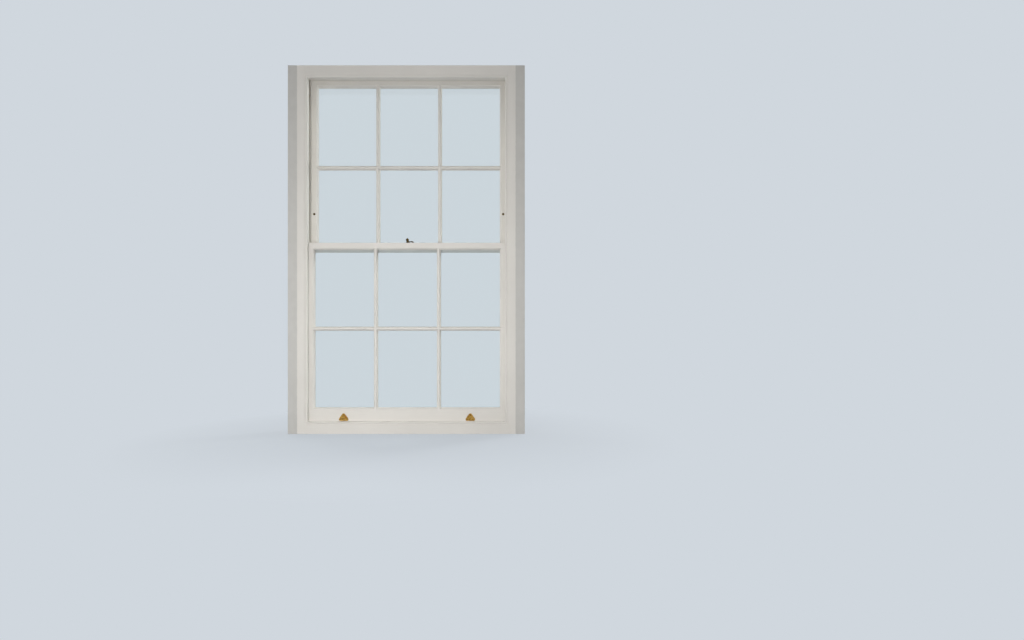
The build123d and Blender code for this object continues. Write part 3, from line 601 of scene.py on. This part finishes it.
class Solid:
    """A closed mesh in the making, in metres and in the window's own place."""

    def __init__(self) -> None:
        """Starts an empty mesh."""
        self.shape = bmesh.new()

    @classmethod
    def copied(cls, node: str) -> "Solid":
        """Copies a CAD node's mesh, merged and with its flat faces joined.

        Args:
            node: The node's name.

        Returns:
            The copy.
        """
        solid = cls()
        shape = solid.shape
        shape.from_mesh(frame["nodes"][node].data)
        bmesh.ops.remove_doubles(shape, verts=shape.verts, dist=MERGED_WITHIN)
        bmesh.ops.dissolve_limit(shape, angle_limit=FLAT_WITHIN, verts=shape.verts, edges=shape.edges)
        return solid

    def ease(self, offset: float, shortest: float, angle: float = 40, along: Vector | None = None) -> None:
        """Rounds the outer edges.

        Args:
            offset: How far each edge is taken back, in metres.
            shortest: Edges shorter than this stay sharp, in metres.
            angle: The least angle of an edge that is rounded, in degrees.
            along: Only edges in this direction are rounded, where it is given.
        """
        chosen = [
            edge
            for edge in self.shape.edges
            if edge.is_manifold
            and edge.is_convex
            and edge.calc_length() > shortest
            and edge.calc_face_angle(0) > math.radians(angle)
            and (along is None or abs(self.direction(edge) @ along) > 0.99)
        ]
        bmesh.ops.bevel(
            self.shape, geom=chosen, offset=offset, offset_type="OFFSET", segments=2, profile=0.5,
            affect="EDGES", clamp_overlap=True, material=-1,
        )

    def direction(self, edge: bmesh.types.BMEdge) -> Vector:
        """The way in which an edge points."""
        return (edge.verts[0].co - edge.verts[1].co).normalized()

    def take(self, other: bmesh.types.BMesh) -> None:
        """Adds another mesh and frees it.

        Args:
            other: The mesh to add.
        """
        mesh = bpy.data.meshes.new("taken")
        other.to_mesh(mesh)
        other.free()
        self.shape.from_mesh(mesh)
        bpy.data.meshes.remove(mesh)

    def piece(
        self, name: str, body: str | None, slot: str, finish: bpy.types.Material
    ) -> bpy.types.Object:
        """Turns the mesh into a piece of the window.

        Args:
            name: The piece's name.
            body: The CAD body that it moves with, or None where it is blended later.
            slot: The record's material slot.
            finish: Its material.

        Returns:
            The piece.
        """
        mesh = bpy.data.meshes.new(name)
        for face in self.shape.faces:
            face.smooth = True
        self.shape.to_mesh(mesh)
        self.shape.free()
        mesh.set_sharp_from_angle(angle=SHARP_FROM)
        mesh.materials.append(finish)
        piece = bpy.data.objects.new(name, mesh)
        bpy.context.scene.collection.objects.link(piece)
        flat = piece.modifiers.new("flat_faces", "WEIGHTED_NORMAL")
        flat.keep_sharp = True
        if body:
            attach(piece, body)
        return piece


def body_of(node: str) -> str:
    """The CAD body that holds a node."""
    bodies = frame["record"]["behaviour"]["bodies"]
    return next(body for body, nodes in bodies.items() if node in nodes)


def dress(node: str, finish: bpy.types.Material) -> None:
    """Gives a CAD node a finish in place of its own.

    Args:
        node: The node's name.
        finish: The material.
    """
    materials = frame["nodes"][node].data.materials
    materials.clear()
    materials.append(finish)


SLOT_OF = {part["node"]: part["material_slot"] for part in frame["record"]["subparts"]}


@dataclass
class Joinery:
    """The timbers of the box and both sashes, with eased arrises and paint brushed along them."""

    finishes: Finishes
    sash_arris: float = 0.5 * MM
    frame_arris: float = 1.0 * MM
    shortest: float = 12 * MM
    painted_slots: tuple[str, ...] = ("frame_paint", "sash_paint", "painted_sill", "bare_pine")

    def build(self) -> None:
        """Copies, eases and dresses every timber."""
        for node, slot in SLOT_OF.items():
            if slot in self.painted_slots:
                self.timber(node, slot)

    def timber(self, node: str, slot: str) -> None:
        """Makes one timber.

        Args:
            node: The CAD node that it stands for.
            slot: The record's material slot.
        """
        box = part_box(node)
        size = box[1] - box[0]
        length = Vector((0, 0, 1)) if size.z > size.x else Vector((1, 0, 0))
        jointed = slot == "sash_paint" or node.startswith("staff_bead")
        arris = self.sash_arris if jointed else self.frame_arris
        solid = Solid.copied(node)
        solid.ease(arris, self.shortest, along=length if jointed else None)
        finish = self.finishes.of(slot, box)
        if node.startswith(("inner_lining_left", "inner_lining_right")):
            finish = self.finishes.lining
        # The pulley stiles take the track paint, with its painted light and painted shade
        if node.startswith("pulley_stile"):
            finish = self.finishes.track
        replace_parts(solid.piece(f"{node}_eased", body_of(node), slot, finish), node)


@dataclass
class Ironmongery:
    """Brass lifts, fastener, stop sockets and pulley cases, with softened edges."""

    finishes: Finishes
    soft_edge: float = 0.35 * MM
    shortest: float = 0.3 * MM
    least_angle: float = 50.0
    flare: float = 0.3
    flare_from: float = -73.5 * MM
    flare_run: float = 9 * MM
    sash_face: float = -69 * MM
    web: float = 1.0 * MM
    lobe_radius: float = 8.5 * MM
    lobe_sides: int = 32
    lever: str = "fastener_lever"
    nodes: tuple[str, ...] = (
        "sash_lift_left", "sash_lift_right", "fastener_base", "fastener_keep", "stop_sockets",
        "pulley_cases_left", "pulley_cases_right",
    )

    def build(self) -> None:
        """Softens and dresses every fitting."""
        for node in self.nodes:
            slot = "aged_brass" if node == "stop_sockets" else SLOT_OF[node]
            solid = Solid.copied(node)
            solid.ease(self.soft_edge, self.shortest, self.least_angle)
            if node.startswith("sash_lift"):
                self.flare_hook(solid, node)
                self.web_plate(solid, node)
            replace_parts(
                solid.piece(f"{node}_finished", body_of(node), slot, self.finishes.by_slot[slot]), node
            )
        dress(self.lever, self.finishes.by_slot[SLOT_OF[self.lever]])

    def web_plate(self, solid: Solid, node: str) -> None:
        """Fills a lift's plate out to a triangle, a step behind its three lobes.

        Args:
            solid: The lift.
            node: Its CAD node.
        """
        low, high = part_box(node)
        web = Solid()
        shape = web.shape
        for x, z in LIFT_LOBES:
            for depth in (0.0, self.web):
                spot = Vector(((low.x + high.x) / 2 + x, self.sash_face - depth, LIFT_Z + z))
                bmesh.ops.create_circle(
                    shape, cap_ends=False, segments=self.lobe_sides, radius=self.lobe_radius,
                    matrix=Matrix.Translation(spot) @ Matrix.Rotation(math.radians(90), 4, "X"),
                )
        hull = bmesh.ops.convex_hull(shape, input=shape.verts)
        inner = [item for item in hull["geom_interior"] if isinstance(item, bmesh.types.BMVert)]
        bmesh.ops.delete(shape, geom=inner, context="VERTS")
        bmesh.ops.dissolve_limit(shape, angle_limit=FLAT_WITHIN, verts=shape.verts, edges=shape.edges)
        web.ease(self.soft_edge, self.shortest, self.least_angle)
        solid.take(shape)

    def flare_hook(self, solid: Solid, node: str) -> None:
        """Spreads a lift's hook sideways as it leaves its plate.

        Args:
            solid: The lift.
            node: Its CAD node.
        """
        low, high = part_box(node)
        middle = (low.x + high.x) / 2
        for vert in solid.shape.verts:
            share = min(max((self.flare_from - vert.co.y) / self.flare_run, 0.0), 1.0)
            spread = 1 + self.flare * share * share * (3 - 2 * share)
            vert.co.x = middle + (vert.co.x - middle) * spread


@dataclass
class Screws:
    """Slotted countersunk screws of the pulleys, pockets, lifts and the fastener."""

    finishes: Finishes
    head_radius: float = 3.4 * MM
    head_depth: float = 2.2 * MM
    shank_radius: float = 1.7 * MM
    length: float = 14 * MM
    slot_width: float = 1.1 * MM
    slot_depth: float = 1.4 * MM
    segments: int = 32
    turns: tuple[float, ...] = (12, 75, 140, 48, 103, 170)
    stile_face: float = 542 * MM
    pulley_screw: float = 55 * MM
    pocket_screw_z: float = 146 * MM
    plate_top: float = 1018 * MM
    base_screw: tuple[float, float] = (23.5 * MM, -34.3 * MM)
    keep_screw: tuple[float, float] = (16.5 * MM, -5.2 * MM)

    def frame_spots(self) -> list[tuple[Spot, Spot]]:
        """Lists the screws in the pulley stiles.

        Returns:
            The middle of each head and the direction in which it is driven.
        """
        spots = []
        for _, side in SIDES:
            face, into = side * self.stile_face, (side, 0, 0)
            for y in CORD_Y.values():
                spots += [
                    ((face, y, PULLEY_Z + rise), into) for rise in (-self.pulley_screw, self.pulley_screw)
                ]
            spots.append(((face, CORD_Y["lower"], self.pocket_screw_z), into))
        return spots

    def lower_spots(self) -> list[tuple[Spot, Spot]]:
        """Lists the screws in the lower sash.

        Returns:
            The middle of each head and the direction in which it is driven.
        """
        lifts = [
            ((side * LIFT_X + x, LIFT_FACE, LIFT_Z + z), (0, 1, 0))
            for _, side in SIDES
            for x, z in LIFT_LOBES
        ]
        return lifts + self.plate_spots(*self.base_screw)

    def plate_spots(self, x: float, y: float) -> list[tuple[Spot, Spot]]:
        """Two screws driven down through a plate of the fastener, either side of its middle."""
        return [((side * x, y, self.plate_top), (0, 0, -1)) for _, side in SIDES]

    def one(self, solid: Solid, spot: Spot, into: Spot, turn: float) -> None:
        """Adds one screw.

        Args:
            solid: The mesh that it is added to.
            spot: The middle of its head.
            into: The direction in which it is driven.
            turn: How far its slot is turned, in degrees.
        """
        screw = bmesh.new()
        bmesh.ops.create_circle(screw, cap_ends=True, segments=self.segments, radius=self.head_radius)
        for side in (-1, 1):
            bmesh.ops.bisect_plane(
                screw, geom=[*screw.verts, *screw.edges, *screw.faces],
                plane_co=(side * self.slot_width / 2, 0, 0), plane_no=(1, 0, 0),
            )
        slot = min(screw.faces, key=lambda face: abs(face.calc_center_median().x))
        rim = [edge for edge in screw.edges if edge.is_boundary]
        for radius, depth in (
            (self.shank_radius, self.head_depth), (self.shank_radius, self.length - self.head_depth)
        ):
            grown = bmesh.ops.extrude_edge_only(screw, edges=rim)["geom"]
            verts = [item for item in grown if isinstance(item, bmesh.types.BMVert)]
            share = radius / max(vert.co.to_2d().length for vert in verts)
            bmesh.ops.scale(screw, vec=(share, share, 1), verts=verts)
            bmesh.ops.translate(screw, vec=(0, 0, -depth), verts=verts)
            rim = [item for item in grown if isinstance(item, bmesh.types.BMEdge) and item.is_boundary]
        bmesh.ops.holes_fill(screw, edges=rim)
        sunk = bmesh.ops.extrude_face_region(screw, geom=[slot])["geom"]
        floor = [item for item in sunk if isinstance(item, bmesh.types.BMVert)]
        bmesh.ops.translate(screw, vec=(0, 0, -self.slot_depth), verts=floor)
        inward = 1 - self.slot_depth * (self.head_radius - self.shank_radius) / (
            self.head_depth * self.head_radius
        )
        bmesh.ops.scale(screw, vec=(1, inward, 1), verts=floor)
        if slot.is_valid:
            bmesh.ops.delete(screw, geom=[slot], context="FACES_ONLY")
        bmesh.ops.recalc_face_normals(screw, faces=screw.faces)
        place = (
            Matrix.Translation(spot)
            @ Vector(into).to_track_quat("-Z", "Y").to_matrix().to_4x4()
            @ Matrix.Rotation(math.radians(turn), 4, "Z")
        )
        bmesh.ops.transform(screw, matrix=place, verts=screw.verts)
        solid.take(screw)

    def build(self) -> None:
        """Makes the three sets of screws."""
        sets = (
            ("frame_screws", "frame", self.frame_spots()),
            ("lower_sash_screws", "lower_sash", self.lower_spots()),
            ("upper_sash_screws", "upper_sash", self.plate_spots(*self.keep_screw)),
        )
        for node, body, spots in sets:
            solid = Solid()
            for index, (spot, into) in enumerate(spots):
                self.one(solid, spot, into, self.turns[index % len(self.turns)])
            finish = self.finishes.by_slot["screw_brass"]
            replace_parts(solid.piece(f"{node}_slotted", body, "screw_brass", finish), node)


@dataclass
class SashCord:
    """A braided cord from its knot in the sash, over its pulley, to its knot in the weight."""

    finishes: Finishes
    sash: str
    side_name: str
    side: int
    radius: float = 3 * MM
    knot_radius: float = 7 * MM
    knot_core: float = 0.82
    knot_strand: float = 0.17
    knot_turns: float = 1.5
    knot_lay: float = 0.9
    segments: int = 20
    turn_steps: int = 24

    @property
    def name(self) -> str:
        """The cord's CAD node."""
        return f"cord_{self.sash}_{self.side_name}"

    @property
    def y(self) -> float:
        """The middle of its sash's thickness, where it hangs."""
        return CORD_Y[self.sash]

    def piece(self, solid: Solid, part: str, body: str | None) -> bpy.types.Object:
        """Dresses one part of the cord."""
        cotton = self.finishes.by_slot["cotton_cord"]
        return solid.piece(f"{self.name}_{part}", body, "cotton_cord", cotton)

    def run(self, part: str, out: float, end_z: float, body: str) -> None:
        """Makes a straight run from the pulley down to a knot, which lengthens as the sash moves.

        Args:
            part: The run's name.
            out: The run's distance from the pulley's middle, towards the box if positive.
            end_z: The knot's height.
            body: The CAD body that holds the knot.
        """
        solid = Solid()
        x = self.side * (PULLEY_X + out)
        length = PULLEY_Z - end_z
        bmesh.ops.create_cone(
            solid.shape, cap_ends=True, segments=self.segments, radius1=self.radius, radius2=self.radius,
            depth=length, matrix=Matrix.Translation((x, self.y, PULLEY_Z - length / 2)),
        )
        run = self.piece(solid, part, None)
        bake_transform(run)

    def half_turn(self) -> None:
        """Makes the half turn over the pulley."""
        solid = Solid()
        shape = solid.shape
        centre = Vector((self.side * PULLEY_X, self.y, PULLEY_Z))
        start = centre - Vector((self.side * TURN_RADIUS, 0, 0))
        bmesh.ops.create_circle(
            shape, cap_ends=False, segments=self.segments, radius=self.radius,
            matrix=Matrix.Translation(start),
        )
        bmesh.ops.spin(
            shape, geom=[*shape.verts, *shape.edges], cent=centre, axis=(0, self.side, 0),
            angle=math.pi, steps=self.turn_steps, use_merge=False,
        )
        bmesh.ops.holes_fill(shape, edges=[edge for edge in shape.edges if edge.is_boundary])
        bmesh.ops.recalc_face_normals(shape, faces=shape.faces)
        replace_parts(self.piece(solid, "over_pulley", "frame"), self.name)

    def knot(self, part: str, out: float, z: float, body: str) -> None:
        """Makes a knot of three turns drawn tight.

        Args:
            part: The knot's name.
            out: Its distance from the pulley's middle, towards the box if positive.
            z: Its height.
            body: The CAD body that it lies in.
        """
        solid = Solid()
        place = Matrix.Translation((self.side * (PULLEY_X + out), self.y, z))
        bmesh.ops.create_icosphere(solid.shape, subdivisions=4, radius=self.knot_radius)
        for vert in solid.shape.verts:
            across = vert.co / self.knot_radius
            turn = self.knot_lay * math.atan2(across.y, across.x)
            wrap = abs(math.sin(math.pi * self.knot_turns * across.z + turn))
            vert.co *= self.knot_core + self.knot_strand * wrap
        bmesh.ops.transform(solid.shape, matrix=place, verts=solid.shape.verts)
        self.piece(solid, part, body)

    def build(self) -> None:
        """Makes the whole cord."""
        sash, weight = f"{self.sash}_sash", f"weight_{self.sash}_{self.side_name}"
        sash_knot, weight_knot = KNOT_Z[self.sash]
        self.run("sash_run", -TURN_RADIUS, sash_knot, sash)
        self.half_turn()
        self.run("weight_run", TURN_RADIUS, weight_knot, weight)
        self.knot("sash_knot", -TURN_RADIUS, sash_knot, sash)
        self.knot("weight_knot", TURN_RADIUS, weight_knot, weight)


@dataclass
class Glazing:
    """Panes and the putty that holds them."""

    finishes: Finishes

    def build(self) -> None:
        """Dresses panes and putty of both sashes."""
        for sash in CORD_Y:
            dress(f"{sash}_panes", self.finishes.by_slot["glass"])
            dress(f"{sash}_putty", self.finishes.by_slot["putty"])


@dataclass
class Balance:
    """Pulley wheels, their pins and the iron weights, which keep the shapes of the CAD."""

    finishes: Finishes
    starts: tuple[str, ...] = ("pulley_wheel", "pulley_pins", "sash_weight")

    def build(self) -> None:
        """Dresses wheels, pins and weights."""
        for node, slot in SLOT_OF.items():
            if node.startswith(self.starts):
                dress(node, self.finishes.by_slot[slot])


# Camera, floor and light


@dataclass(frozen=True)
class Photograph:
    """Where the photograph was taken from: its vanishing point, focal length and the window's foot."""

    width: int = 1024
    height: int = 640
    focal: float = 549.0
    vanishing: tuple[float, float] = (496.5, 350.0)
    foot: tuple[float, float] = (406.3, 434.0)
    distance: float = 2.9
    sensor: float = 36.0

    def build(self) -> None:
        """Sets up the camera, level and square to the window."""
        scale = self.distance / self.focal
        data = bpy.data.cameras.new("photograph")
        data.sensor_width = self.sensor
        data.lens = self.focal * self.sensor / self.width
        data.shift_x = (self.width / 2 - self.vanishing[0]) / self.width
        data.shift_y = (self.vanishing[1] - self.height / 2) / self.width
        eye = bpy.data.objects.new("photograph", data)
        eye.location = (
            (self.vanishing[0] - self.foot[0]) * scale,
            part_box("sill")[0].y - self.distance,
            (self.foot[1] - self.vanishing[1]) * scale,
        )
        eye.rotation_euler = (math.radians(90), 0, 0)
        bpy.context.scene.collection.objects.link(eye)
        bpy.context.scene.camera = eye


@dataclass(frozen=True)
class Lamp:
    """A soft square lamp."""

    name: str
    place: Spot
    size: float
    power: float
    reflected: bool = False


@dataclass
class Studio:
    """A plain pale floor that fades into the background, and soft, even light."""

    floor_size: float = 160.0
    floor_tint: Colour = srgb(176, 181, 187)
    backdrop: Colour = srgb(208, 215, 222)
    fades_from: float = 0.5
    fades_to: float = 1.4
    nearest_fade: float = 0.7
    bounce: float = 0.35
    sky_light: float = 0.45
    lamp_rim: float = 0.5
    lamp_core: float = 0.1
    lamp_peak: float = 3.0
    lamp_middle: Spot = (0.5, 0.5, 0.0)
    aim: Spot = (0.0, 0.0, 1.0)
    lamps: tuple[Lamp, ...] = (
        Lamp("room_left", (-3.4, -3.2, 0.9), 1.8, 15.0, reflected=True),
        Lamp("room_right", (3.6, -3.4, 0.9), 1.6, 8.0, reflected=True),
        Lamp("room_front", (-0.2, -2.1, 0.4), 0.7, 31.0),
        Lamp("daylight_right", (3.4, 2.6, 2.2), 2.4, 180.0),
        Lamp("daylight_left", (-3.2, 2.8, 1.4), 2.0, 85.0),
    )

    def floor(self) -> None:
        """Lays the floor at the height of the sill's underside."""
        mesh = bpy.data.meshes.new("floor")
        shape = bmesh.new()
        bmesh.ops.create_grid(shape, x_segments=1, y_segments=1, size=self.floor_size / 2)
        shape.to_mesh(mesh)
        shape.free()
        floor = bpy.data.objects.new("floor", mesh)
        bpy.context.scene.collection.objects.link(floor)
        shade = Shader("floor")
        seen = self.seen(shade)
        laid = shade.mix(seen, dimmed(self.floor_tint, self.bounce), self.floor_tint)
        shade.feed(shade.surface, Base_Color=laid, Roughness=0.9)
        glow = shade.feed(shade.add("ShaderNodeEmission"), Color=self.backdrop, Strength=1.0)
        length = shade.add("ShaderNodeVectorMath", operation="LENGTH")
        away = shade.feed(length, Vector=shade.place).outputs["Value"]
        fade = shade.ramp(away, self.fades_from, self.fades_to, self.nearest_fade, 1.0)
        share = shade.reckon("MULTIPLY", fade, seen)
        join = shade.add("ShaderNodeMixShader")
        for socket, value in zip(join.inputs, (share, shade.surface.outputs[0], glow.outputs[0])):
            shade.put(socket, value)
        shade.put(shade.add("ShaderNodeOutputMaterial").inputs[0], join.outputs[0])
        mesh.materials.append(shade.material)

    def seen(self, shade: Shader) -> Socket:
        """Tells what is looked at from what only lights the window.

        Args:
            shade: The floor's material.

        Returns:
            1 for rays that the camera, a reflection or glass sends out, else 0.
        """
        path = shade.add("ShaderNodeLightPath").outputs
        either = shade.reckon("MAXIMUM", path["Is Camera Ray"], path["Is Glossy Ray"])
        return shade.reckon("MAXIMUM", either, path["Is Transmission Ray"])

    def sky(self) -> None:
        """Lights everything evenly and shows the plain background."""
        world = bpy.data.worlds.new("studio")
        bpy.context.scene.world = world
        world.use_nodes = True
        tree = world.node_tree
        tree.nodes.clear()
        light, seen = (tree.nodes.new("ShaderNodeBackground") for _ in range(2))
        light.inputs["Color"].default_value = (1.0, 1.0, 1.0, 1.0)
        light.inputs["Strength"].default_value = self.sky_light
        seen.inputs["Color"].default_value = self.backdrop
        path = tree.nodes.new("ShaderNodeLightPath").outputs
        first, second = (tree.nodes.new("ShaderNodeMath") for _ in range(2))
        first.operation = second.operation = "MAXIMUM"
        mix = tree.nodes.new("ShaderNodeMixShader")
        output = tree.nodes.new("ShaderNodeOutputWorld")
        for start, end in (
            (path["Is Camera Ray"], first.inputs[0]),
            (path["Is Glossy Ray"], first.inputs[1]),
            (first.outputs[0], second.inputs[0]),
            (path["Is Transmission Ray"], second.inputs[1]),
            (second.outputs[0], mix.inputs[0]),
            (light.outputs[0], mix.inputs[1]),
            (seen.outputs[0], mix.inputs[2]),
            (mix.outputs[0], output.inputs["Surface"]),
        ):
            tree.links.new(start, end)

    def hang(self, lamp: Lamp) -> None:
        """Hangs one soft lamp that faces the window and fades towards its rim.

        Args:
            lamp: Its name, place, side in metres, power in watts, and whether glass and metal show it.
        """
        data = bpy.data.lights.new(lamp.name, "AREA")
        data.energy = lamp.power
        data.size = lamp.size
        data.use_nodes = True
        tree = data.node_tree
        glow = next(node for node in tree.nodes if node.type == "EMISSION")
        across = tree.nodes.new("ShaderNodeNewGeometry")
        middle, fall = tree.nodes.new("ShaderNodeVectorMath"), tree.nodes.new("ShaderNodeMapRange")
        middle.operation = "DISTANCE"
        middle.inputs[1].default_value = self.lamp_middle
        fall.interpolation_type = "SMOOTHSTEP"
        for socket, value in (
            ("From Min", self.lamp_rim),
            ("From Max", self.lamp_core),
            ("To Min", 0.0),
            ("To Max", self.lamp_peak),
        ):
            fall.inputs[socket].default_value = value
        tree.links.new(across.outputs["Parametric"], middle.inputs[0])
        tree.links.new(middle.outputs["Value"], fall.inputs["Value"])
        tree.links.new(fall.outputs[0], glow.inputs["Strength"])
        body = bpy.data.objects.new(lamp.name, data)
        body.location = lamp.place
        body.rotation_euler = (Vector(self.aim) - Vector(lamp.place)).to_track_quat("-Z", "Y").to_euler()
        body.visible_camera = body.visible_transmission = False
        body.visible_glossy = lamp.reflected
        bpy.context.scene.collection.objects.link(body)

    def build(self) -> None:
        """Sets up floor, background and lamps."""
        self.floor()
        self.sky()
        for lamp in self.lamps:
            self.hang(lamp)
        bpy.context.scene.view_settings.view_transform = "Standard"


def main() -> None:
    """Builds the scene piece by piece."""
    logging.basicConfig(level=logging.INFO, format="%(message)s")
    finishes = Finishes()
    cords = (SashCord(finishes, sash, name, side) for sash in CORD_Y for name, side in SIDES)
    for part in (
        Studio(), Photograph(), Joinery(finishes), Glazing(finishes), Balance(finishes),
        Ironmongery(finishes), Screws(finishes), *cords,
    ):
        part.build()
        LOG.info("%s: %s", type(part).__name__, type(part).__doc__)


if __name__ == "__main__":
    main()
